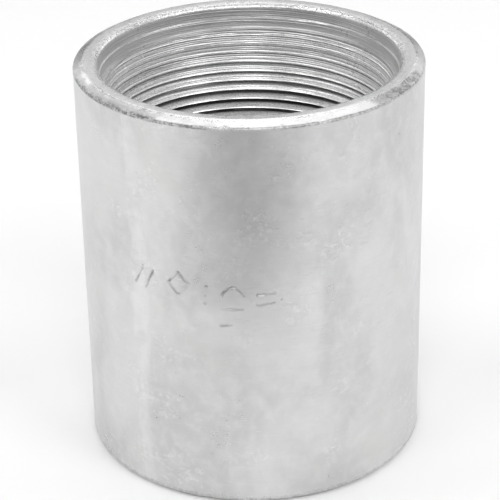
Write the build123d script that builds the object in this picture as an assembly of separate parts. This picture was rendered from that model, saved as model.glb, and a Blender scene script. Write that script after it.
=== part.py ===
from build123d import *
import math
import os

# Steel pipe coupling, nominal pipe size 2: one machined sleeve that joins two
# threaded pipe ends.  Millimetres, +Z along the coupling's axis, origin at the
# centre of the lower end face, both ends alike.

INCH = 25.4

# ---- driving dimensions -------------------------------------------------
OD = 2.875 * INCH            # outer diameter of the sleeve
LENGTH = 86.8                # end face to end face
BEVEL_R = 34.5               # outer radius of the flat bearing face
BEVEL_DROP = 0.9             # how far the bevel runs down the outer wall

RECESS_R = 31.36             # recess that clears the pipe's unthreaded part
RECESS_STEP_DEPTH = 3.3      # depth at which the second boring tool took over
RECESS_R2 = 31.0             # lower, slightly tighter part of the recess
RECESS_DEPTH = 5.5           # end face to the recess floor
MOUTH_ROUND = 0.8            # round on the inner edge of each mouth

BORE_R = 28.4                # bored radius: the thread's crests
LEDGE_R = 30.15              # inner radius of the recess's floor
LEAD_IN_DEG = 7.0            # lead-in cone, measured from the axis
BAND_R = 28.0                # unmachined band of the tube at mid-length
BAND_HALF = 3.6              # half the band's width

TPI = 11.5                   # threads per inch, right-hand, 60 degree form
PITCH = INCH / TPI
TAPER = 1.0 / 32.0           # radius lost for each mm of depth (1 in 16 on diameter)
ROOT_R = 30.05               # thread root radius at the recess floor
ROOT_FLAT = 0.10             # width of the flat at the thread root
RUNOUT_TURNS = 2.5           # turns over which the thread fades out
THREAD_PHASE = 0.07          # depth of a thread root straight behind the axis

TOOTH = 1.74                 # height of the cutting tooth, full thread
RUNOUT_TOOTH = 1.0           # the same for the run-out
CUT_TURNS = 1.9              # turns taken in one cut
SEAM_DEG = 200.0             # where the turned surfaces close, clear of every cut's end

# ---- derived ------------------------------------------------------------
ro = OD / 2
lead_len = (LEDGE_R - BORE_R) / math.tan(math.radians(LEAD_IN_DEG))
lead_end = RECESS_DEPTH + lead_len                    # depth where the bore starts
step_len = RECESS_R - RECESS_R2                       # 45 degree steps
band_step = BORE_R - BAND_R
bore_end = LENGTH / 2 - BAND_HALF - band_step         # depth where the bore stops
cap = MOUTH_ROUND * (1 - math.sqrt(0.5))              # arc's mid-point offset


# ---- sleeve blank, turned in one piece ------------------------------------
def end_edges(sign):
    """Section of one end, from the outer wall over the end face and down the
    bore to the mid-length band.  sign +1 is the upper end, -1 the lower."""
    def at(r, depth):
        return (r, 0, LENGTH / 2 + sign * (LENGTH / 2 - depth))

    r_in = RECESS_R + MOUTH_ROUND
    return [
        Line(at(ro, BEVEL_DROP), at(BEVEL_R, 0)),
        Line(at(BEVEL_R, 0), at(r_in, 0)),
        ThreePointArc(at(r_in, 0), at(RECESS_R + cap, cap), at(RECESS_R, MOUTH_ROUND)),
        Line(at(RECESS_R, MOUTH_ROUND), at(RECESS_R, RECESS_STEP_DEPTH)),
        Line(at(RECESS_R, RECESS_STEP_DEPTH), at(RECESS_R2, RECESS_STEP_DEPTH + step_len)),
        Line(at(RECESS_R2, RECESS_STEP_DEPTH + step_len), at(RECESS_R2, RECESS_DEPTH)),
        Line(at(RECESS_R2, RECESS_DEPTH), at(LEDGE_R, RECESS_DEPTH)),
        Line(at(LEDGE_R, RECESS_DEPTH), at(BORE_R, lead_end)),
        Line(at(BORE_R, lead_end), at(BORE_R, bore_end)),
        Line(at(BORE_R, bore_end), at(BAND_R, bore_end + band_step)),
    ]


outer_wall = Line((ro, 0, BEVEL_DROP), (ro, 0, LENGTH - BEVEL_DROP))
tube_band = Line(
    (BAND_R, 0, bore_end + band_step), (BAND_R, 0, LENGTH - bore_end - band_step)
)
section = make_face(Wire([outer_wall, tube_band] + end_edges(1) + end_edges(-1)))
blank = Rot(0, 0, SEAM_DEG) * revolve(section, Axis.Z, 360)


# ---- thread ---------------------------------------------------------------
def root_radius(depth):
    return ROOT_R - (depth - RECESS_DEPTH) * TAPER


def helical_cut(depth, turns, radius, slope, height):
    """Cutter that climbs from depth towards the mouth.  radius is the root's at
    the start, slope the radius gained for each mm of climb, and height that of
    the tooth, which reaches into the bore."""
    path = Helix(
        pitch=PITCH,
        height=turns * PITCH,
        radius=radius,
        center=(0, 0, LENGTH - depth),
        cone_angle=math.degrees(math.atan(slope)),
    )
    x, z = (path @ 0).X, (path @ 0).Z
    half_root = ROOT_FLAT / 2
    half_open = half_root + height * math.tan(math.radians(30))
    form = make_face(
        Polyline(
            (x, 0, z - half_root),
            (x, 0, z + half_root),
            (x - height, 0, z + half_open),
            (x - height, 0, z - half_open),
            close=True,
        )
    )
    # a root at THREAD_PHASE + n pitches of depth lies at +Y, a quarter turn on
    angle = 360.0 * (((THREAD_PHASE - depth) / PITCH + 0.25) % 1.0)
    return Rot(0, 0, angle) * sweep(form, path=path, is_frenet=True)


# Full thread: from where the run-out begins up to just inside the recess.
runout_len = RUNOUT_TURNS * PITCH
full_deep = bore_end - 0.3 - runout_len
full_turns = (full_deep - (RECESS_DEPTH - 0.3)) / PITCH
cuts = []
count = math.ceil(full_turns / CUT_TURNS)
for i in range(count):
    depth = full_deep - i * PITCH * full_turns / count
    cuts.append(helical_cut(depth, full_turns / count, root_radius(depth), TAPER, TOOTH))

# Run-out: carries on below the full thread and climbs out of the metal.
fade_r = BORE_R - 0.06
fade_slope = (root_radius(full_deep) - fade_r) / runout_len
cuts.append(
    helical_cut(full_deep + runout_len, RUNOUT_TURNS, fade_r, fade_slope, RUNOUT_TOOTH)
)

# The lower end carries the same right-hand thread, turned end for end.
turn_over = Pos(0, 0, LENGTH / 2) * Rot(180, 0, 0) * Pos(0, 0, -LENGTH / 2)

sleeve = blank
for cutter in cuts + [turn_over * c for c in cuts]:
    sleeve = sleeve - cutter

solids = sleeve.solids()
coupling_sleeve = max(solids, key=lambda s: s.volume)
coupling_sleeve.label = "coupling_sleeve"

os.makedirs("parts", exist_ok=True)
export_step(coupling_sleeve, "parts/coupling_sleeve.step")

box = coupling_sleeve.bounding_box()
print(f"solids {len(solids)}  valid {coupling_sleeve.is_valid}  faces {len(coupling_sleeve.faces())}")
print(f"blank {blank.volume:.1f} mm3, thread removed {blank.volume - coupling_sleeve.volume:.1f} mm3")
print(f"size {box.size.X:.3f} {box.size.Y:.3f} {box.size.Z:.3f}")
print(f"depths: bore from {lead_end:.2f}, full thread to {full_deep:.2f}, bore to {bore_end:.2f}")
print(f"root radius at the full thread's deep end {root_radius(full_deep):.3f}, {full_turns:.2f} turns in {count} cuts")
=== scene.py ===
import math

import bpy
import numpy as np
from mathutils import Matrix, Vector


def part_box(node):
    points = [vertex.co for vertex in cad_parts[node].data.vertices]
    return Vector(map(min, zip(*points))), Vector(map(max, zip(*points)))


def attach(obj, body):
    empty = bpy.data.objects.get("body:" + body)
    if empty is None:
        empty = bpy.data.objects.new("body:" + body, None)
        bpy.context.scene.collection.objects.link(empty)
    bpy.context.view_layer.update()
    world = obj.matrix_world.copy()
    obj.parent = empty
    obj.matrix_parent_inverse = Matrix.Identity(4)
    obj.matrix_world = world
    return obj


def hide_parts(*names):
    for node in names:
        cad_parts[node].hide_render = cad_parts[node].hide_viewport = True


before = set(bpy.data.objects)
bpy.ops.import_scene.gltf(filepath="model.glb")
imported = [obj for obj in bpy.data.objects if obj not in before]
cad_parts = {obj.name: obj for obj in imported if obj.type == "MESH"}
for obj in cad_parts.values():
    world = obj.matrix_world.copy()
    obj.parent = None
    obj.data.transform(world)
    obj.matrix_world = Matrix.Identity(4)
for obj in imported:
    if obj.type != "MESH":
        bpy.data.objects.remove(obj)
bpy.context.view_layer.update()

MM = 0.001

# ---------------------------------------------------------------- dimensions
# The sleeve's own sizes, in millimetres.  Its length and radius come from the
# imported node's box.
lo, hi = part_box("coupling_sleeve")
LENGTH = (hi[2] - lo[2]) / MM
RO = (hi[0] - lo[0]) / 2 / MM
PITCH = 25.4 / 11.5
TAPER = 1.0 / 32.0
RECESS_R, RECESS_R2 = 31.36, 31.0
STEP_DEPTH, RECESS_DEPTH = 3.3, 5.5
BORE_R, BAND_R = 28.4, 28.0
LEDGE_R = 30.15
LEAD_TAN = math.tan(math.radians(7.0))
LEAD_END = RECESS_DEPTH + (LEDGE_R - BORE_R) / LEAD_TAN
BORE_END = LENGTH / 2 - 3.6 - (BORE_R - BAND_R)
ROOT_R = 30.05
ROOT_FLAT = 0.10
PHASE = 0.07
RUNOUT = 2.5 * PITCH
FULL_DEEP = BORE_END - 0.3 - RUNOUT
TAN30 = math.tan(math.radians(30.0))


# ---------------------------------------------------------------- noise
def _hash(ix, iy, iz, seed):
    with np.errstate(over="ignore"):
        h = (
            ix.astype(np.uint32) * np.uint32(374761393)
            + iy.astype(np.uint32) * np.uint32(668265263)
            + iz.astype(np.uint32) * np.uint32(2246822519)
            + np.uint32((seed * 3266489917) & 0xFFFFFFFF)
        )
        h ^= h >> np.uint32(13)
        h = h * np.uint32(1274126177)
        h ^= h >> np.uint32(16)
        h = h * np.uint32(2654435761)
        h ^= h >> np.uint32(15)
    return h.astype(np.float64) / 4294967295.0 * 2.0 - 1.0


def noise(p, size, seed):
    """Smooth value noise in -1..1.  size is the cell in mm, one number or three."""
    q = np.asarray(p, float) / np.asarray(size, float)
    i = np.floor(q).astype(np.int64)
    f = q - i
    f = f * f * f * (f * (f * 6 - 15) + 10)
    out = 0.0
    for dx in (0, 1):
        wx = f[..., 0] if dx else 1 - f[..., 0]
        for dy in (0, 1):
            wy = f[..., 1] if dy else 1 - f[..., 1]
            for dz in (0, 1):
                wz = f[..., 2] if dz else 1 - f[..., 2]
                out = out + wx * wy * wz * _hash(i[..., 0] + dx, i[..., 1] + dy, i[..., 2] + dz, seed)
    return out


def fbm(p, size, seed, octaves=3, gain=0.5):
    total, amp, norm = 0.0, 1.0, 0.0
    size = np.asarray(size, float)
    for k in range(octaves):
        total = total + amp * noise(p, size / 2**k, seed + 17 * k)
        norm += amp
        amp *= gain
    return total / norm


def smooth(a, b, x):
    t = np.clip((x - a) / (b - a), 0, 1)
    return t * t * (3 - 2 * t)


def cyl(r, th, z):
    return np.stack([r * np.cos(th), r * np.sin(th), z + 0 * r], -1)


# ---------------------------------------------------------------- mesh buffer
class Buffer:
    def __init__(self):
        self.v, self.f, self.attr, self.count = [], [], [], 0

    def add(self, pts, edge=0.0, bore=0.0, rim=0.0, shade_and_dark_patch=0.0, painted_highlight=0.0):
        """Adds points (n, 3) in mm and returns their indices."""
        n = len(pts)
        self.v.append(np.asarray(pts, float))
        cols = [np.broadcast_to(np.asarray(c, float), (n,)) for c in (edge, bore, rim, shade_and_dark_patch, painted_highlight)]
        self.attr.append(np.stack(cols, -1))
        ids = np.arange(self.count, self.count + n)
        self.count += n
        return ids

    def face(self, ids):
        out = []
        for i in ids:
            if not out or out[-1] != i:
                out.append(int(i))
        if len(out) > 1 and out[0] == out[-1]:
            out.pop()
        if len(set(out)) >= 3 and len(set(out)) == len(out):
            self.f.append(tuple(out))

    def strip(self, a, b):
        """Quads between two closed rings of the same count."""
        n = len(a)
        for j in range(n):
            k = (j + 1) % n
            self.face((a[j], a[k], b[k], b[j]))

    def stitch(self, a, ta, b, tb):
        """Triangles between two closed rings of different counts, by angle."""
        na, nb = len(a), len(b)
        ta, tb = np.append(ta, ta[0] + 2 * np.pi), np.append(tb, tb[0] + 2 * np.pi)
        i = j = 0
        while i < na or j < nb:
            if j >= nb or (i < na and ta[i + 1] <= tb[j + 1]):
                self.face((a[i], a[(i + 1) % na], b[j % nb]))
                i += 1
            else:
                self.face((a[i % na], b[(j + 1) % nb], b[j]))
                j += 1


buf = Buffer()

# ---------------------------------------------------------------- outer wall
# Shallow stamped marks on the wall: plain bars, dots, a diamond and an arch.
MARK_Z = 48.3


def arc_pts(cx, cz, r, a0, a1, n=14):
    a = np.radians(np.linspace(a0, a1, n))
    return [(cx + r * math.cos(t), cz + r * math.sin(t)) for t in a]


STROKES = [
    # leaning pair of bars
    ([(-26.0, 0.6), (-23.9, 4.7)], 0.24),
    ([(-23.4, 0.2), (-21.4, 4.2)], 0.20),
    # diamond
    ([(-15.6, 0.2), (-13.4, 2.9)], 0.07),
    ([(-13.4, 2.9), (-15.5, 5.4)], 0.10),
    ([(-15.5, 5.4), (-17.7, 2.7)], 0.17),
    ([(-17.7, 2.7), (-15.6, 0.2)], 0.10),
    # column of dots
    ([(-9.9, -0.9), (-9.9, -0.85)], 0.15),
    ([(-9.7, 1.0), (-9.7, 1.05)], 0.10),
    ([(-9.5, 2.9), (-9.5, 2.95)], 0.14),
    # arch over a bar
    (arc_pts(-4.1, 0.7, 2.3, 15, 165), 0.13),
    ([(-6.2, -1.8), (-2.2, -1.6)], 0.12),
    # two level bars with a punch mark
    ([(0.9, 1.5), (4.3, 1.8)], 0.12),
    ([(0.7, -0.7), (4.0, -0.4)], 0.10),
    ([(5.7, 0.2), (5.75, 0.25)], 0.16),
    ([(-6.8, -5.6), (-4.6, -5.4)], 0.08),
]


def stamp(th, z):
    """Depth pressed into the wall, mm."""
    u = (th + math.pi / 2) * RO
    v = z - MARK_Z
    depth = np.zeros_like(u)
    p3 = np.stack([u, v, 0 * u], -1)
    patchy = 0.75 + 0.55 * noise(p3, 1.5, 91)
    wob_u = 0.10 * noise(p3, 1.3, 92)
    wob_v = 0.10 * noise(p3, 1.3, 93)
    for pts, deep in STROKES:
        best = np.full_like(u, 1e9)
        for (x0, z0), (x1, z1) in zip(pts[:-1], pts[1:]):
            dx, dz = x1 - x0, z1 - z0
            ll = dx * dx + dz * dz + 1e-9
            t = np.clip(((u + wob_u - x0) * dx + (v + wob_v - z0) * dz) / ll, 0, 1)
            d = np.hypot(u + wob_u - x0 - t * dx, v + wob_v - z0 - t * dz)
            best = np.minimum(best, d)
        groove = 2.1 * deep * np.clip(1 - (best / 0.31) ** 2, 0, 1)
        lip = -0.40 * deep * np.exp(-(((best - 0.42) / 0.12) ** 2))
        depth = depth + (groove + lip) * np.clip(patchy, 0.15, 1.15)
    return depth


def wall_r(th, z):
    p = cyl(np.full_like(th, RO), th, z)
    wave = 0.020 * (1 + fbm(p, (24, 24, 16), 5, 2)) + 0.004 * (1 + noise(p, (5, 5, 4), 8))
    return np.minimum(RO - wave - stamp(th, z), RO)


sector = np.radians(np.arange(-135.5, -76.9, 0.29))
coarse_n = 96
rest = np.linspace(sector[-1] + 0.02, sector[0] + 2 * np.pi - 0.02, coarse_n)
TH_OUT = np.concatenate([sector, rest])
z_low = np.linspace(1.75, MARK_Z - 6.4, 10)
z_mark = np.arange(MARK_Z - 6.2, MARK_Z + 6.0, 0.2)
z_high = np.linspace(MARK_Z + 6.2, LENGTH - 1.75, 9)
Z_OUT = np.concatenate([z_low, z_mark, z_high])

out_rings = []
for z in Z_OUT:
    zz = np.full_like(TH_OUT, z)
    # painted shade: the stamped grooves are coloured darker
    stamp_groove_shade = 0.38 * np.clip(stamp(TH_OUT, zz) / 0.28, 0, 1)
    out_rings.append(buf.add(cyl(wall_r(TH_OUT, zz), TH_OUT, zz), shade_and_dark_patch=stamp_groove_shade))
for a, b in zip(out_rings[:-1], out_rings[1:]):
    buf.strip(a, b)

# ---------------------------------------------------------------- ends
# A section through the rim as (radius, depth below the end face, edge weight,
# rim weight), from the outer wall to the recess.
RIM = [
    (RO, 1.50, 0.0, 0.3),
    (RO - 0.01, 1.27, 0.0, 0.6),
    (RO - 0.10, 1.14, 0.0, 1.0),
    (RO - 0.06, 1.02, 0.3, 1.0),
    (RO - 0.08, 0.90, 1.0, 1.0),
    (RO - 0.28, 0.79, 0.5, 0.45),
    (RO - 0.62, 0.63, 0.3, 0.25),
    (RO - 1.00, 0.46, 0.3, 0.2),
    (RO - 1.36, 0.30, 0.4, 0.3),
    (RO - 1.66, 0.165, 0.9, 0.5),
    (34.66, 0.085, 1.0, 0.6),
    (34.44, 0.030, 0.7, 0.5),
    (34.15, 0.006, 0.1, 0.4),
    (33.60, 0.004, 0.0, 0.35),
    (33.05, 0.006, 0.0, 0.6),
    (32.68, 0.030, 0.4, 0.9),
    (32.34, 0.090, 0.8, 1.0),
    (32.02, 0.190, 0.9, 1.0),
    (31.76, 0.330, 0.9, 1.0),
    (31.56, 0.520, 0.8, 1.0),
    (31.43, 0.760, 0.5, 0.9),
    (31.38, 1.080, 0.2, 0.6),
]
N_RIM = 480
TH_RIM = np.linspace(-np.pi, np.pi, N_RIM, endpoint=False) + 0.0005
N_IN, N_LOW = 180, 120


def inner_angles(n):
    return np.linspace(-np.pi, np.pi, n, endpoint=False) + 0.0005


TH_IN = inner_angles(N_IN)


def rim_shape(r, d, edge, th, seed):
    """Wears the rim: material only ever goes inwards from the clean section."""
    p = np.stack([r * np.cos(th), r * np.sin(th), np.full_like(th, d) + 40 * seed], -1)
    on_bevel = smooth(34.3, 34.8, r) * (1 - smooth(1.05, 1.35, d))
    # the bevel's two edges wander, so the whole band shifts a little
    wander = 0.11 * fbm(p, (9, 9, 9), seed + 1, 3) + 0.08 * fbm(p, (2.4, 2.4, 2.4), seed + 2, 2)
    # hammered, pitted texture
    rough = 0.5 + 0.5 * fbm(p, (1.05, 1.05, 0.8), seed + 3, 2)
    pits = np.clip(fbm(p, (0.8, 0.8, 0.6), seed + 4, 2) - 0.28, 0, 1)
    nick = np.clip(noise(p, (2.6, 2.6, 1.6), seed + 5) - 0.55, 0, 1)
    amount = 0.010 + 0.040 * rough + 0.16 * pits * (0.35 + edge) + 0.24 * nick * edge
    amount = amount * (0.30 + 0.70 * np.clip(on_bevel + edge, 0, 1)) * (1.5 if r < 32.8 else 0.35 + 0.65 * edge)
    fade = 1 - smooth(1.10, 1.50, d) if r > 33 else 1 - smooth(0.85, 1.08, d)
    amount = amount * fade
    # inward direction: down on the face, towards the metal's middle on the walls
    if r > 34.3:
        nr, nz = 0.41, 0.91
    elif r < 32.8:
        nr, nz = -0.6, 0.8
    else:
        nr, nz = 0.0, 1.0
    shift = wander * on_bevel * fade
    rr = r - nr * amount - 0.6 * np.clip(shift + 0.1, 0, 1) * on_bevel * fade
    dd = d + nz * amount
    if r < 32.5:
        rr = rr + 0.07 * (1 + fbm(p, (6, 6, 6), seed + 6, 3)) * edge * fade
    return np.minimum(rr, RO), np.maximum(dd, 0.0)


def window(th, a, b, soft=4.0):
    """1 between two bearings in degrees, counted from the front, fading outside."""
    deg = (np.degrees(th) + 90.0 + 180.0) % 360.0 - 180.0
    return smooth(a - soft, a + soft, deg) * (1 - smooth(b - soft, b + soft, deg))


def bevel_shade_and_patch(r, d, th, top):
    """Painted shade on the bevel: a dark line along its lower edge, and one long darker patch."""
    if r < 34.5:
        return np.zeros_like(th)
    turn = 0.0 if top else np.pi
    t = th + turn
    p = cyl(np.full_like(t, r), t, np.full_like(t, d))
    ragged = 0.72 + 0.55 * fbm(p, (1.3, 1.3, 0.8), 951, 2)
    low_edge = 1.0 if d > 0.85 else (0.75 if d > 0.70 else (0.25 if d > 0.55 else 0.0))
    line = low_edge * (window(t, -76, -15, 6) + 0.45 * window(t, 8, 44, 6) + 0.35)
    patch = (1.0 if 0.1 < d < 1.2 else 0.4) * window(t, 48, 74, 5)
    return np.clip(np.maximum(line, patch) * ragged * 1.15, 0, 1)


def bevel_highlight(r, d, th, top):
    """Painted highlight on the bevel: all of it at the front, beads beside it."""
    if r < 34.4 or d > 1.0:
        return np.zeros_like(th)
    t = th if top else th + np.pi
    p = cyl(np.full_like(t, r), t, np.full_like(t, d))
    ragged = 0.05 * fbm(p, (1.6, 1.6, 0.9), 961, 2)
    front = window(t + ragged, -30, 43, 2.5) * (1.0 if d < 0.85 else 0.6)
    beads = smooth(0.02, 0.30, noise(p, (1.9, 1.9, 1.2), 963)) * (1.0 if r < 35.3 else 0.25)
    return np.clip(np.maximum(front, beads * window(t, -86, -30, 3)), 0, 1)


def put_end(top, seed):
    """Adds one rim and returns its outer and inner rings."""
    rings = []
    for r, d, edge, rim in RIM:
        rr, dd = rim_shape(r, d, edge, TH_RIM, seed)
        if r >= RO - 0.001:
            # blend into the wall's own slight unevenness
            z_here = LENGTH - dd if top else dd
            rr = np.minimum(rr, wall_r(TH_RIM, z_here))
        z = LENGTH - dd if top else dd
        rings.append(buf.add(cyl(rr, TH_RIM, z), edge=edge, rim=rim,
                             shade_and_dark_patch=bevel_shade_and_patch(r, d, TH_RIM, top), painted_highlight=bevel_highlight(r, d, TH_RIM, top)))
    for a, b in zip(rings[:-1], rings[1:]):
        buf.strip(a, b)
    return rings[0], rings[-1]


top_out, top_in = put_end(True, 200)
low_out, low_in = put_end(False, 300)


def turned(th_a, ids_a, th_b, ids_b):
    """Rings start at different angles: roll both to start just after -pi."""
    ka, kb = np.argsort(th_a % (2 * np.pi)), np.argsort(th_b % (2 * np.pi))
    ta, tb = (th_a % (2 * np.pi))[ka], (th_b % (2 * np.pi))[kb]
    # the first of b is the one nearest a's first
    return ids_a[ka], ta, ids_b[kb], tb


buf.stitch(*turned(TH_OUT, out_rings[-1], TH_RIM, top_out))
buf.stitch(*turned(TH_OUT, out_rings[0], TH_RIM, low_out))


# ---------------------------------------------------------------- bore
def base_r(d):
    """Radius of the bore before threading, at a depth below the face."""
    cone = LEDGE_R - (d - RECESS_DEPTH) * LEAD_TAN
    return np.where(d < LEAD_END, np.maximum(cone, BORE_R), BORE_R)


def root_r(d):
    full = ROOT_R - (d - RECESS_DEPTH) * TAPER
    deep = ROOT_R - (FULL_DEEP - RECESS_DEPTH) * TAPER
    fade = deep - (d - FULL_DEEP) * (deep - (BORE_R - 0.06)) / RUNOUT
    return np.where(d > FULL_DEEP, fade, full)


def crest_offset(dc, sign):
    """Distance from a groove's centre to where its flank meets the bore."""
    lo_, hi_ = np.full_like(dc, ROOT_FLAT / 2), np.full_like(dc, 1.02)
    for _ in range(26):
        mid = (lo_ + hi_) / 2
        inside = root_r(dc) - (mid - ROOT_FLAT / 2) / TAN30 > base_r(dc + sign * mid)
        lo_ = np.where(inside, mid, lo_)
        hi_ = np.where(inside, hi_, mid)
    return np.maximum(lo_, 0.20)


D_TOP, D_LOW = RECESS_DEPTH + 0.12, BORE_END - 0.06
ROWS = 10


def thread_rows(dc):
    """The ten row depths of one pitch, round a groove centred at dc."""
    up, dn = crest_offset(dc, -1), crest_offset(dc, 1)
    nxt_up = crest_offset(dc + PITCH, -1)
    a, b = dc + dn, dc + PITCH - nxt_up
    h = ROOT_FLAT / 2
    return [
        dc - up,
        dc - up + 0.11,
        dc - h - (up - h) * 0.45,
        dc - h,
        dc + h,
        dc + h + (dn - h) * 0.45,
        dc + dn - 0.15,
        dc + dn,
        dc + dn + np.minimum(0.17, (b - a) * 0.25),
        b - np.minimum(0.46, (b - a) * 0.5),
    ]


def surface(d, dc, th, seed):
    """Radius of the threaded wall.  The edge of a crest that faces the mouth is
    rounded over.  Its far edge stands proud as a sharp lip, left by the tap."""
    g = root_r(dc) - np.maximum(np.abs(d - dc) - ROOT_FLAT / 2, 0) / TAN30
    b = base_r(d)
    s = np.where(d > dc, 0.09, 0.02)
    r = np.maximum(g, b) + s * np.exp(-np.abs(g - b) / s) * 0.5
    # distance from the lip, up the crest
    below = dc + PITCH - crest_offset(dc + PITCH, -1)
    up_lip = np.where(d > dc + 0.3, below - d, 0.0)
    rise = np.clip(up_lip / 0.46, 0, 1)
    height = 0.10 + 0.16 * smooth(8.0, 15.0, d)
    return r + height * rise * (1 - smooth(36.5, 38.5, d)) * np.where(d > dc + 0.3, 1.0, 0.0)


def put_bore(top, seed, n):
    first = math.floor((D_TOP - PHASE) / PITCH) - 1
    last = math.ceil((D_LOW - PHASE) / PITCH) + 2
    turns = last - first + 1
    th = inner_angles(n)
    # depth of groove m at angle th: a root at PHASE + m pitches lies at +Y
    frac = ((th - np.pi / 2) / (2 * np.pi))
    rows_d = np.empty((turns * ROWS, n))
    rows_c = np.empty((turns * ROWS, n))
    for m in range(turns):
        dc = PHASE + (first + m) * PITCH - PITCH * frac
        for i, dd in enumerate(thread_rows(dc)):
            rows_d[m * ROWS + i] = dd
            rows_c[m * ROWS + i] = dc
    rows_d = np.maximum.accumulate(rows_d, axis=0)
    clip_top, clip_low = rows_d <= D_TOP + 0.03, rows_d >= D_LOW - 0.03

    def place(r, tt, d):
        x, y = r * np.cos(tt), r * np.sin(tt)
        if top:
            return np.stack([x, y, LENGTH - d], -1)
        return np.stack([x, -y, d], -1)

    ring_t = buf.add(place(np.full(n, float(base_r(np.array(D_TOP)))), th, np.full(n, D_TOP)), bore=1.0)
    ring_b = buf.add(place(np.full(n, BORE_R), th, np.full(n, D_LOW)), bore=1.0)
    ids = np.full(rows_d.shape, -1, int)
    keep = ~(clip_top | clip_low)
    kk, jj = np.nonzero(keep)
    d, dc, tt = rows_d[kk, jj], rows_c[kk, jj], th[jj]
    r = surface(d, dc, tt, seed)
    # tool chatter: streaks that follow the helix, finer across it than along it
    along = tt + 0.0
    p = np.stack([BORE_R * np.cos(along), BORE_R * np.sin(along), d + PITCH * along / (2 * np.pi)], -1)
    streak = fbm(p, (9.0, 9.0, 0.42), seed + 11, 2)
    tear = np.clip(noise(p, (2.4, 2.4, 0.5), seed + 12) - 0.45, 0, 1)
    crest = np.exp(-np.abs(r - base_r(d)) / 0.12)
    sunk = np.clip((r - base_r(d)) / np.maximum(root_r(dc) - base_r(d), 0.4), 0, 1)
    r = r + 0.016 * streak + 0.08 * tear * crest + 0.012
    new = buf.add(place(r, tt, d), edge=crest, bore=1.0, rim=sunk)
    ids[kk, jj] = new
    rows, cols = np.nonzero(clip_top)
    ids[rows, cols] = ring_t[cols]
    rows, cols = np.nonzero(clip_low)
    ids[rows, cols] = ring_b[cols]
    for k in range(turns * ROWS - 1):
        for j in range(n - 1):
            buf.face((ids[k, j], ids[k, j + 1], ids[k + 1, j + 1], ids[k + 1, j]))
        # a turn on, the row is one pitch nearer the mouth
        ka, kb = k - ROWS, k + 1 - ROWS
        end_a = ids[ka, 0] if ka >= 0 else ring_t[0]
        end_b = ids[kb, 0] if kb >= 0 else ring_t[0]
        buf.face((ids[k, n - 1], end_a, end_b, ids[k + 1, n - 1]))
    return ring_t, ring_b


def recess(top, seed, rim_ring, thread_ring, n):
    """Rings from the rim's last ring down to the lead-in cone."""
    secs = [
        (RECESS_R, 1.35, 0.0),
        (RECESS_R, 2.00, 0.0),
        (RECESS_R + 0.015, STEP_DEPTH - 0.30, 0.0),
        (RECESS_R - 0.03, STEP_DEPTH - 0.10, 0.9),
        (RECESS_R - 0.22, STEP_DEPTH - 0.01, 1.3),
        (RECESS_R2 + 0.03, STEP_DEPTH + 0.07, 0.9),
        (RECESS_R2, STEP_DEPTH + 0.20, 0.0),
        (RECESS_R2, RECESS_DEPTH - 0.55, 0.0),
        (RECESS_R2 - 0.01, RECESS_DEPTH - 0.12, 0.0),
        (RECESS_R2 - 0.09, RECESS_DEPTH - 0.02, 0.0),
        (RECESS_R2 - 0.25, RECESS_DEPTH + 0.01, 0.1),
        (LEDGE_R + 0.18, RECESS_DEPTH + 0.01, 0.1),
        (LEDGE_R + 0.06, RECESS_DEPTH + 0.03, 0.3),
    ]
    prev = None
    th = inner_angles(n)
    for r, d, edge in secs:
        p = np.stack([r * np.cos(th), r * np.sin(th), np.full_like(th, d) + seed], -1)
        rr = r + 0.010 * (1 + fbm(p, (6, 6, 0.6), seed, 2)) + 0.03 * edge * fbm(p, (3, 3, 3), seed + 1, 2)
        if d < STEP_DEPTH + 0.1:
            # the step's edge is painted bright as a highlight only over the back part of its round
            edge = edge * (0.25 + 0.75 * smooth(0.30, 0.85, np.sin(th)))
        x, y = rr * np.cos(th), rr * np.sin(th)
        pts = np.stack([x, y if top else -y, np.full_like(th, LENGTH - d if top else d)], -1)
        ring = buf.add(pts, edge=edge, bore=0.6)
        if prev is None:
            # the lower end's rings run the other way round, so match by angle
            angles = th if top else -th
            buf.stitch(*turned(TH_RIM, rim_ring, angles, ring))
        else:
            buf.strip(prev, ring)
        prev = ring
    buf.strip(prev, thread_ring)


t_top, t_low = put_bore(True, 400, N_IN)
recess(True, 500, top_in, t_top, N_IN)
b_top, b_low = put_bore(False, 600, N_LOW)
recess(False, 700, low_in, b_top, N_LOW)

# the unmachined band at mid-length joins the two bores
band = []
half = LENGTH / 2
for z, r, edge in [
    (half + 3.97, BAND_R + 0.37, 0.9),
    (half + 3.66, BAND_R + 0.06, 0.9),
    (half + 3.45, BAND_R, 0.4),
    (half + 1.8, BAND_R, 0.0),
    (half, BAND_R, 0.0),
    (half - 1.8, BAND_R, 0.0),
    (half - 3.45, BAND_R, 0.4),
    (half - 3.66, BAND_R + 0.06, 0.9),
    (half - 3.97, BAND_R + 0.37, 0.9),
]:
    p = cyl(np.full(N_IN, r), TH_IN, np.full(N_IN, z))
    rr = r + 0.03 * (1 + fbm(p, (4, 4, 3), 801, 3)) * (1 if edge < 0.8 else 0.4)
    band.append(buf.add(cyl(rr, TH_IN, np.full(N_IN, z)), edge=edge, bore=1.0))
buf.strip(t_low, band[0])
for a, b in zip(band[:-1], band[1:]):
    buf.strip(a, b)
buf.stitch(*turned(TH_IN, band[-1], -inner_angles(N_LOW), b_low))

# ---------------------------------------------------------------- mesh object
verts = np.concatenate(buf.v) * MM
attrs = np.concatenate(buf.attr)
mesh = bpy.data.meshes.new("coupling_sleeve_detailed")
mesh.from_pydata(verts.tolist(), [], buf.f)
mesh.validate()
for k, name in enumerate(("edge", "bore", "rim", "shade_and_dark_patch", "painted_highlight")):
    layer = mesh.attributes.new(name, "FLOAT", "POINT")
    layer.data.foreach_set("value", attrs[:, k].astype(np.float32))

import bmesh

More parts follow.
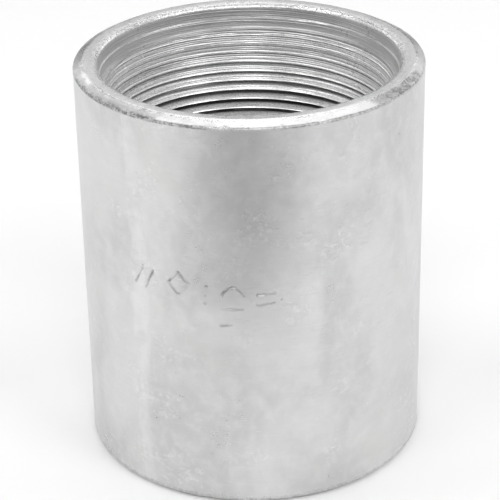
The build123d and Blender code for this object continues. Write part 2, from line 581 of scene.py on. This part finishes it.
bm = bmesh.new()
bm.from_mesh(mesh)
loose = [v for v in bm.verts if not v.link_faces]
bmesh.ops.delete(bm, geom=loose, context="VERTS")
bmesh.ops.dissolve_degenerate(bm, dist=1e-6, edges=bm.edges)
bmesh.ops.recalc_face_normals(bm, faces=bm.faces)
if bm.calc_volume(signed=True) < 0:
    bmesh.ops.reverse_faces(bm, faces=bm.faces)
open_edges = sum(1 for e in bm.edges if len(e.link_faces) != 2)
print(f"sleeve: {len(bm.verts)} verts, {len(bm.faces)} faces, {sum(len(f.verts) - 2 for f in bm.faces)} triangles, "
      f"{open_edges} open edges, volume {bm.calc_volume() * 1e6:.2f} cm3")
bm.to_mesh(mesh)
bm.free()
mesh.polygons.foreach_set("use_smooth", [True] * len(mesh.polygons))
mesh.set_sharp_from_angle(angle=math.radians(38))
mesh.update()
sleeve = bpy.data.objects.new("coupling_sleeve_detailed", mesh)
bpy.context.scene.collection.objects.link(sleeve)
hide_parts("coupling_sleeve")
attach(sleeve, "root")


# ---------------------------------------------------------------- material
class Nodes:
    """Small helper for building a node tree."""

    def __init__(self, tree):
        self.t = tree

    def add(self, kind, **props):
        n = self.t.nodes.new(kind)
        for k, v in props.items():
            setattr(n, k, v)
        return n

    def link(self, a, b):
        self.t.links.new(a, b)

    def put(self, sock, value):
        if hasattr(value, "is_output"):
            self.link(value, sock)
        else:
            sock.default_value = value

    def math(self, op, a, b=0.0, c=None, clamp=False):
        n = self.add("ShaderNodeMath", operation=op, use_clamp=clamp)
        self.put(n.inputs[0], a)
        self.put(n.inputs[1], b)
        if c is not None:
            self.put(n.inputs[2], c)
        return n.outputs[0]

    def vmul(self, vec, xyz):
        n = self.add("ShaderNodeVectorMath", operation="MULTIPLY")
        self.put(n.inputs[0], vec)
        n.inputs[1].default_value = xyz
        return n.outputs[0]

    def vadd(self, vec, xyz):
        n = self.add("ShaderNodeVectorMath", operation="ADD")
        self.put(n.inputs[0], vec)
        n.inputs[1].default_value = xyz
        return n.outputs[0]

    def noise(self, vec, scale, detail=2.0, rough=0.5, distortion=0.0):
        n = self.add("ShaderNodeTexNoise")
        n.noise_dimensions = "3D"
        self.put(n.inputs["Vector"], vec)
        n.inputs["Scale"].default_value = scale
        n.inputs["Detail"].default_value = detail
        n.inputs["Roughness"].default_value = rough
        n.inputs["Distortion"].default_value = distortion
        return n.outputs[0]

    def ramp(self, x, a, b, lo_=0.0, hi_=1.0):
        n = self.add("ShaderNodeMapRange", interpolation_type="SMOOTHSTEP")
        self.put(n.inputs["Value"], x)
        n.inputs["From Min"].default_value = a
        n.inputs["From Max"].default_value = b
        n.inputs["To Min"].default_value = lo_
        n.inputs["To Max"].default_value = hi_
        return n.outputs[0]

    def mix(self, fac, a, b, mode="MIX"):
        n = self.add("ShaderNodeMix", data_type="RGBA", blend_type=mode)
        self.put(n.inputs[0], fac)
        self.put(n.inputs[6], a)
        self.put(n.inputs[7], b)
        return n.outputs[2]

    def attr(self, name):
        return self.add("ShaderNodeAttribute", attribute_name=name).outputs["Fac"]


def zinc():
    m = bpy.data.materials.new("galvanised_steel")
    m.use_nodes = True
    m.node_tree.nodes.clear()
    N = Nodes(m.node_tree)
    out = N.add("ShaderNodeOutputMaterial")
    bsdf = N.add("ShaderNodeBsdfPrincipled")
    N.link(bsdf.outputs[0], out.inputs[0])
    coord = N.add("ShaderNodeTexCoord").outputs["Object"]
    p = N.vmul(coord, (1000.0, 1000.0, 1000.0))          # millimetres
    edge, bore, rim = N.attr("edge"), N.attr("bore"), N.attr("rim")
    wall = N.math("SUBTRACT", 1.0, N.math("MAXIMUM", bore, rim), clamp=True)

    # the attribute "rim" marks the rim on the outside and the thread roots inside
    root = N.math("MULTIPLY", rim, bore)
    rim_only = N.math("MULTIPLY", rim, N.math("SUBTRACT", 1.0, bore, clamp=True))

    # broad blotches of the zinc, and fainter mottling inside them
    blotch = N.noise(N.vmul(p, (1.0, 1.0, 0.62)), 0.055, 3.0, 0.55, 0.6)
    mottle = N.noise(p, 0.30, 4.0, 0.6, 0.4)
    base = N.mix(N.ramp(blotch, 0.32, 0.70), (0.585, 0.586, 0.588, 1), (0.735, 0.735, 0.734, 1))
    base = N.mix(N.ramp(mottle, 0.38, 0.74, 0.0, 0.35), base, (0.82, 0.82, 0.82, 1))
    warm = N.noise(N.vadd(p, (31.0, 7.0, 55.0)), 0.055, 2.0, 0.5, 0.3)
    base = N.mix(N.ramp(warm, 0.56, 0.74, 0.0, 0.40), base, (0.690, 0.686, 0.672, 1))

    # turning lines and drag marks run round the part
    lines = N.noise(N.vmul(p, (0.10, 0.10, 5.5)), 1.0, 3.0, 0.65)
    drag = N.noise(N.vmul(N.vadd(p, (3.0, 9.0, 1.0)), (0.34, 0.34, 3.2)), 1.0, 2.0, 0.5, 0.2)
    drag_hit = N.math("MULTIPLY", N.ramp(drag, 0.66, 0.73), wall)
    base = N.mix(N.ramp(lines, 0.42, 0.64, 0.0, 0.07), base, (0.47, 0.472, 0.475, 1))
    base = N.mix(N.math("MULTIPLY", drag_hit, 0.40), base, (0.88, 0.88, 0.88, 1))

    # small pale flecks where the zinc is rubbed, and a few faint pits
    def spots(offset, scale, near, far, least, most):
        vor = N.add("ShaderNodeTexVoronoi", feature="F1")
        N.put(vor.inputs["Vector"], N.vadd(p, offset))
        vor.inputs["Scale"].default_value = scale
        vor.inputs["Randomness"].default_value = 1.0
        pick = N.add("ShaderNodeSeparateColor")
        N.link(vor.outputs["Color"], pick.inputs[0])
        near_it = N.ramp(vor.outputs["Distance"], near, far, 1.0, 0.0)
        return N.math("MULTIPLY", near_it, N.ramp(pick.outputs[0], least, most))

    pit = spots((0.3, 0.9, 0.2), 0.50, 0.04, 0.13, 0.80, 0.88)
    chip = spots((5.3, 2.9, 7.2), 0.62, 0.05, 0.17, 0.66, 0.76)
    patchy = N.ramp(N.noise(N.vadd(p, (11.0, 3.0, 8.0)), 0.09, 2.0, 0.5), 0.44, 0.60)
    chip = N.math("MULTIPLY", chip, N.math("MULTIPLY", patchy, wall))
    base = N.mix(N.math("MULTIPLY", pit, 0.14), base, (0.38, 0.38, 0.38, 1))
    base = N.mix(N.math("MULTIPLY", chip, 0.55), base, (0.92, 0.92, 0.92, 1))

    # galled patches: coarse zinc grain that stands up in places, most of it in a
    # band down the front left
    angle = N.add("ShaderNodeSeparateXYZ")
    N.link(p, angle.inputs[0])
    bearing = N.math("ARCTAN2", angle.outputs[1], angle.outputs[0])
    in_band = N.ramp(N.math("ABSOLUTE", N.math("ADD", bearing, math.radians(129.0))), 0.07, 0.26, 0.075, 0.0)
    where = N.math("ADD", N.noise(N.vadd(p, (2.0, 19.0, 4.0)), 0.10, 3.0, 0.55), in_band)
    galled = N.math("MULTIPLY", N.ramp(where, 0.54, 0.68), wall)
    grit = N.noise(N.vmul(p, (1.0, 1.0, 1.15)), 0.85, 3.0, 0.6, 0.5)
    relief = N.math("MULTIPLY", galled, N.ramp(grit, 0.36, 0.66))
    base = N.mix(N.math("MULTIPLY", galled, N.ramp(grit, 0.46, 0.70, 0.0, 0.42)), base, (0.92, 0.92, 0.92, 1))

    # a pale ragged streak runs down the front left
    sway = N.math("MULTIPLY", N.math("SUBTRACT", N.noise(N.vmul(N.vadd(p, (9.0, 2.0, 6.0)), (1.0, 1.0, 0.35)), 0.35, 3.0, 0.65), 0.5), 0.22)
    off_streak = N.math("ABSOLUTE", N.math("ADD", N.math("ADD", bearing, math.radians(129.5)), sway))
    gaps = N.ramp(N.noise(N.vadd(p, (1.0, 5.0, 13.0)), 0.13, 2.0, 0.6), 0.36, 0.56)
    streak = N.math("MULTIPLY", N.ramp(off_streak, 0.01, 0.075, 1.0, 0.0), N.math("MULTIPLY", gaps, wall))
    base = N.mix(N.math("MULTIPLY", streak, 0.27), base, (0.93, 0.93, 0.93, 1))

    # painted reflection: the coating is coloured a darker grey in a broad patch on the front, below the bevel,
    # standing in for something dark reflected there
    off_front = N.math("ARCTAN2", angle.outputs[0], N.math("MULTIPLY", angle.outputs[1], -1.0))
    drift = N.math("MULTIPLY", N.math("SUBTRACT", N.noise(N.vadd(p, (7.0, 4.0, 9.0)), 0.07, 2.0, 0.5), 0.5), 0.30)
    off_front = N.math("ABSOLUTE", N.math("ADD", N.math("ADD", off_front, 0.02), drift))
    dark_reflection_paint = N.math("MULTIPLY", N.ramp(off_front, 0.03, 0.47, 1.0, 0.0), N.ramp(angle.outputs[2], 18.0, 72.0, 0.0, 0.36))
    base = N.mix(N.math("MULTIPLY", N.math("ADD", dark_reflection_paint, 0.045), wall), base, (0.0, 0.0, 0.0, 1))

    # the bore: machined bright, streaked along the thread, with painted shade at the roots
    base = N.mix(N.math("MULTIPLY", bore, 0.65), base, (0.88, 0.88, 0.88, 1))
    streaks = N.noise(N.vmul(p, (0.16, 0.16, 3.4)), 1.0, 3.0, 0.6)
    base = N.mix(N.math("MULTIPLY", bore, N.ramp(streaks, 0.44, 0.62, 0.0, 0.30)), base, (0.44, 0.445, 0.45, 1))
    speck = N.noise(N.vmul(p, (1.0, 1.0, 1.4)), 2.9, 2.0, 0.6)
    base = N.mix(N.math("MULTIPLY", bore, N.ramp(speck, 0.52, 0.65, 0.0, 0.55)), base, (0.95, 0.95, 0.95, 1))
    base = N.mix(N.math("MULTIPLY", bore, N.ramp(speck, 0.48, 0.34, 0.0, 0.55)), base, (0.36, 0.36, 0.36, 1))

    # fine feed lines that follow the thread, strongest near the mouth
    sep = N.add("ShaderNodeSeparateXYZ")
    N.link(p, sep.inputs[0])
    turn = N.math("DIVIDE", N.math("ARCTAN2", sep.outputs[1], sep.outputs[0]), 2 * math.pi)
    helix = N.math("SUBTRACT", turn, N.math("DIVIDE", sep.outputs[2], PITCH))
    near_mid = N.math("ABSOLUTE", N.math("SUBTRACT", sep.outputs[2], LENGTH / 2))
    mouth = N.ramp(near_mid, LENGTH / 2 - 19.0, LENGTH / 2 - 9.0)
    three = N.math("SINE", N.math("MULTIPLY", helix, 6 * math.pi))
    five = N.math("SINE", N.math("MULTIPLY", N.math("ADD", helix, 0.13), 10 * math.pi))
    uneven = N.noise(N.vmul(p, (0.12, 0.12, 0.5)), 1.0, 2.0, 0.5)
    feed = N.math("ADD", N.math("MULTIPLY", three, N.ramp(uneven, 0.35, 0.65, 0.2, 0.7)),
                  N.math("MULTIPLY", five, N.ramp(uneven, 0.35, 0.65, 0.6, 0.2)))
    feed = N.math("MULTIPLY", feed, N.math("MULTIPLY", bore, N.math("ADD", N.math("MULTIPLY", mouth, 1.05), 0.25)))
    base = N.mix(N.ramp(feed, 0.10, 0.8, 0.0, 0.55), base, (0.93, 0.93, 0.93, 1))
    base = N.mix(N.ramp(feed, -0.10, -0.8, 0.0, 0.58), base, (0.34, 0.34, 0.34, 1))
    # the crests are coloured bright: partly rubbed bare metal, partly painted highlight
    base = N.mix(N.math("MULTIPLY", N.math("MULTIPLY", bore, edge), 0.45), base, (0.96, 0.96, 0.96, 1))
    base = N.mix(N.math("MULTIPLY", N.math("MULTIPLY", bore, mouth), 0.03), base, (0.08, 0.08, 0.08, 1))
    # painted shade: the thread roots are coloured near black, most of all deep down
    far_in = N.ramp(near_mid, LENGTH / 2 - 14.0, LENGTH / 2 - 22.5, 0.42, 1.0)
    base = N.mix(N.math("MULTIPLY", N.ramp(root, 0.40, 0.78), N.math("MULTIPLY", far_in, 0.96)), base, (0.03, 0.03, 0.03, 1))

    # the recess is duller than the thread
    deep_recess = N.math("MULTIPLY", N.ramp(near_mid, LENGTH / 2 - RECESS_DEPTH - 0.85, LENGTH / 2 - RECESS_DEPTH - 0.45), bore)
    base = N.mix(N.math("MULTIPLY", deep_recess, 0.85), base, (0.40, 0.40, 0.40, 1))

    # worn corners and the rough-cut rim
    base = N.mix(N.math("MULTIPLY", edge, 0.45), base, (0.90, 0.90, 0.90, 1))
    grain_rim = N.noise(p, 2.3, 3.0, 0.6, 0.2)
    base = N.mix(N.math("MULTIPLY", rim_only, N.ramp(grain_rim, 0.53, 0.62, 0.0, 0.62)), base, (0.30, 0.30, 0.30, 1))
    pale_rim = N.noise(N.vadd(p, (4.0, 8.0, 2.0)), 1.9, 3.0, 0.6, 0.3)
    base = N.mix(N.math("MULTIPLY", rim_only, N.ramp(pale_rim, 0.52, 0.62, 0.0, 0.60)), base, (0.93, 0.93, 0.93, 1))
    # painted shade: the stamped grooves and the bevel's lower edge are coloured dark, with one darker patch on the
    # bevel
    shade_and_dark_patch = N.attr("shade_and_dark_patch")
    mottled = N.ramp(N.noise(N.vadd(p, (6.0, 1.0, 3.0)), 1.5, 3.0, 0.65, 0.3), 0.38, 0.62, 0.25, 0.95)
    base = N.mix(N.math("MULTIPLY", shade_and_dark_patch, mottled), base, (0.19, 0.19, 0.19, 1))
    # painted highlight: the bevel's front and the beads beside it are coloured near white
    painted_highlight = N.attr("painted_highlight")
    base = N.mix(N.math("MULTIPLY", painted_highlight, 0.92), base, (0.99, 0.99, 0.99, 1))
    # dark flecks where the lower edge has been set down
    near_floor = N.ramp(sep.outputs[2], 0.4, 2.6, 1.0, 0.0)
    fleck = N.ramp(N.noise(p, 1.3, 3.0, 0.6), 0.56, 0.66)
    base = N.mix(N.math("MULTIPLY", N.math("MULTIPLY", near_floor, fleck), 0.6), base, (0.22, 0.22, 0.22, 1))
    N.link(base, bsdf.inputs["Base Color"])

    N.link(N.math("SUBTRACT", 0.74, N.math("MULTIPLY", bore, 0.14)), bsdf.inputs["Metallic"])
    rough = N.math("ADD", 0.34, N.math("MULTIPLY", N.math("SUBTRACT", blotch, 0.5), 0.30))
    rough = N.math("ADD", rough, N.math("MULTIPLY", N.math("SUBTRACT", mottle, 0.5), 0.16))
    rough = N.math("ADD", rough, N.math("MULTIPLY", pit, 0.20))
    rough = N.math("ADD", rough, N.math("MULTIPLY", shade_and_dark_patch, 0.15))
    rough = N.math("SUBTRACT", rough, N.math("MULTIPLY", edge, 0.10), clamp=True)
    N.link(rough, bsdf.inputs["Roughness"])

    # relief: broad unevenness, turning lines, fine grain
    def bump(height, distance, strength, normal=None):
        b = N.add("ShaderNodeBump")
        N.put(b.inputs["Height"], height)
        b.inputs["Distance"].default_value = distance
        b.inputs["Strength"].default_value = strength
        if normal is not None:
            N.link(normal, b.inputs["Normal"])
        return b.outputs[0]

    n1 = bump(N.noise(N.vmul(p, (1.0, 1.0, 1.3)), 0.16, 3.0, 0.55), 0.00022, 0.35)
    n2 = bump(lines, 0.000020, 0.25, n1)
    n3 = bump(N.math("ADD", N.math("ADD", drag_hit, N.math("MULTIPLY", chip, 0.6)), relief), 0.000085, 0.7, n2)
    fine = N.noise(p, 3.6, 4.0, 0.65)
    n4 = bump(fine, 0.000040, 0.5, n3)
    n5 = bump(feed, 0.000060, 0.8, n4)
    hammered = N.math("MULTIPLY", N.noise(p, 1.5, 3.0, 0.6, 0.3), rim_only)
    n6 = bump(hammered, 0.000160, 0.8, n5)
    N.link(n6, bsdf.inputs["Normal"])
    return m


sleeve.data.materials.append(zinc())

# ---------------------------------------------------------------- stage
floor_mesh = bpy.data.meshes.new("floor")
s = 4.0
floor_mesh.from_pydata([(-s, -s, 0), (s, -s, 0), (s, s, 0), (-s, s, 0)], [], [(0, 1, 2, 3)])
floor = bpy.data.objects.new("floor", floor_mesh)
floor.location.z = -0.00002
bpy.context.scene.collection.objects.link(floor)
fm = bpy.data.materials.new("pale_floor")
fm.use_nodes = True
fb = fm.node_tree.nodes["Principled BSDF"]
fb.inputs["Base Color"].default_value = (0.97, 0.97, 0.97, 1)
fb.inputs["Roughness"].default_value = 0.9
fb.inputs["Specular IOR Level"].default_value = 0.1
floor_mesh.materials.append(fm)


def softbox(name, loc, size, level, size_y=None):
    """A soft light aimed at the sleeve.  level is how bright it lights the sleeve,
    whatever its distance."""
    aim = Vector((0, 0, 0.04))
    d = bpy.data.lights.new(name, "AREA")
    d.shape = "RECTANGLE"
    d.size, d.size_y = size, size_y or size
    d.energy = 10.0 * (Vector(loc) - aim).length_squared * level
    o = bpy.data.objects.new(name, d)
    o.location = loc
    o.rotation_euler = (aim - Vector(loc)).to_track_quat("-Z", "Y").to_euler()
    bpy.context.scene.collection.objects.link(o)
    return o


softbox("right_front", (0.55, -0.5, 0.6), 0.4, 0.262)
softbox("front_high", (0.0, -0.75, 0.8), 0.5, 0.215)
softbox("left_top", (-0.45, 0.05, 0.75), 0.35, 0.177)
softbox("left", (-0.8, 0.0, 0.35), 0.6, 0.176)
softbox("left_front", (-0.55, -0.5, 0.6), 0.4, 0.170)
softbox("right_back", (0.6, 0.65, 0.4), 0.5, 0.149)
softbox("right", (0.8, 0.0, 0.35), 0.6, 0.134)
softbox("left_back", (-0.6, 0.65, 0.4), 0.5, 0.128)
softbox("right_top", (0.45, 0.05, 0.75), 0.35, 0.122)
softbox("front_mid", (0.0, -0.85, 0.45), 0.5, 0.112, 0.35)
softbox("over_back", (0.05, 0.40, 0.72), 0.66, 0.110, 0.26)
softbox("near_back", (0.0, 0.46, 0.40), 0.40, 0.055, 0.16)
softbox("back", (0.0, 0.95, 0.42), 0.8, 0.059, 0.4)
softbox("over_front", (0.0, -0.32, 0.78), 0.4, 0.048)
softbox("over_small", (0.0, 0.20, 0.8), 0.26, 0.052)

world = bpy.data.worlds.new("studio")
bpy.context.scene.world = world
world.use_nodes = True
wt = world.node_tree
wt.nodes.clear()
W = Nodes(wt)
wo = W.add("ShaderNodeOutputWorld")
bg = W.add("ShaderNodeBackground")
W.link(bg.outputs[0], wo.inputs[0])
bg.inputs[0].default_value = (1.0, 1.0, 1.0, 1.0)
bg.inputs[1].default_value = 0.02

# ---------------------------------------------------------------- camera
R = RO * MM
dist, height = 10.272 * R, 6.319 * R
f_px = 1929.8
yaw, pitch, roll = math.radians(-0.091), math.radians(26.778), math.radians(-1.171)
fwd = Vector((math.sin(yaw) * math.cos(pitch), math.cos(yaw) * math.cos(pitch), -math.sin(pitch)))
right = Vector((math.cos(yaw), -math.sin(yaw), 0.0))
up = right.cross(fwd)
cam_x = right * math.cos(roll) + up * math.sin(roll)
cam_y = up * math.cos(roll) - right * math.sin(roll)
cam_data = bpy.data.cameras.new("camera")
cam = bpy.data.objects.new("camera", cam_data)
rot = Matrix((cam_x, cam_y, -fwd)).transposed()
cam.matrix_world = Matrix.Translation((0.0, -dist, height)) @ rot.to_4x4()
cam_data.sensor_width = 36.0
cam_data.lens = f_px / 500.0 * 36.0
cam_data.clip_start, cam_data.clip_end = 0.01, 20.0
bpy.context.scene.collection.objects.link(cam)
bpy.context.scene.camera = cam

scene = bpy.context.scene
scene.view_settings.view_transform = "Standard"
scene.view_settings.look = "None"
scene.view_settings.exposure = 0.0
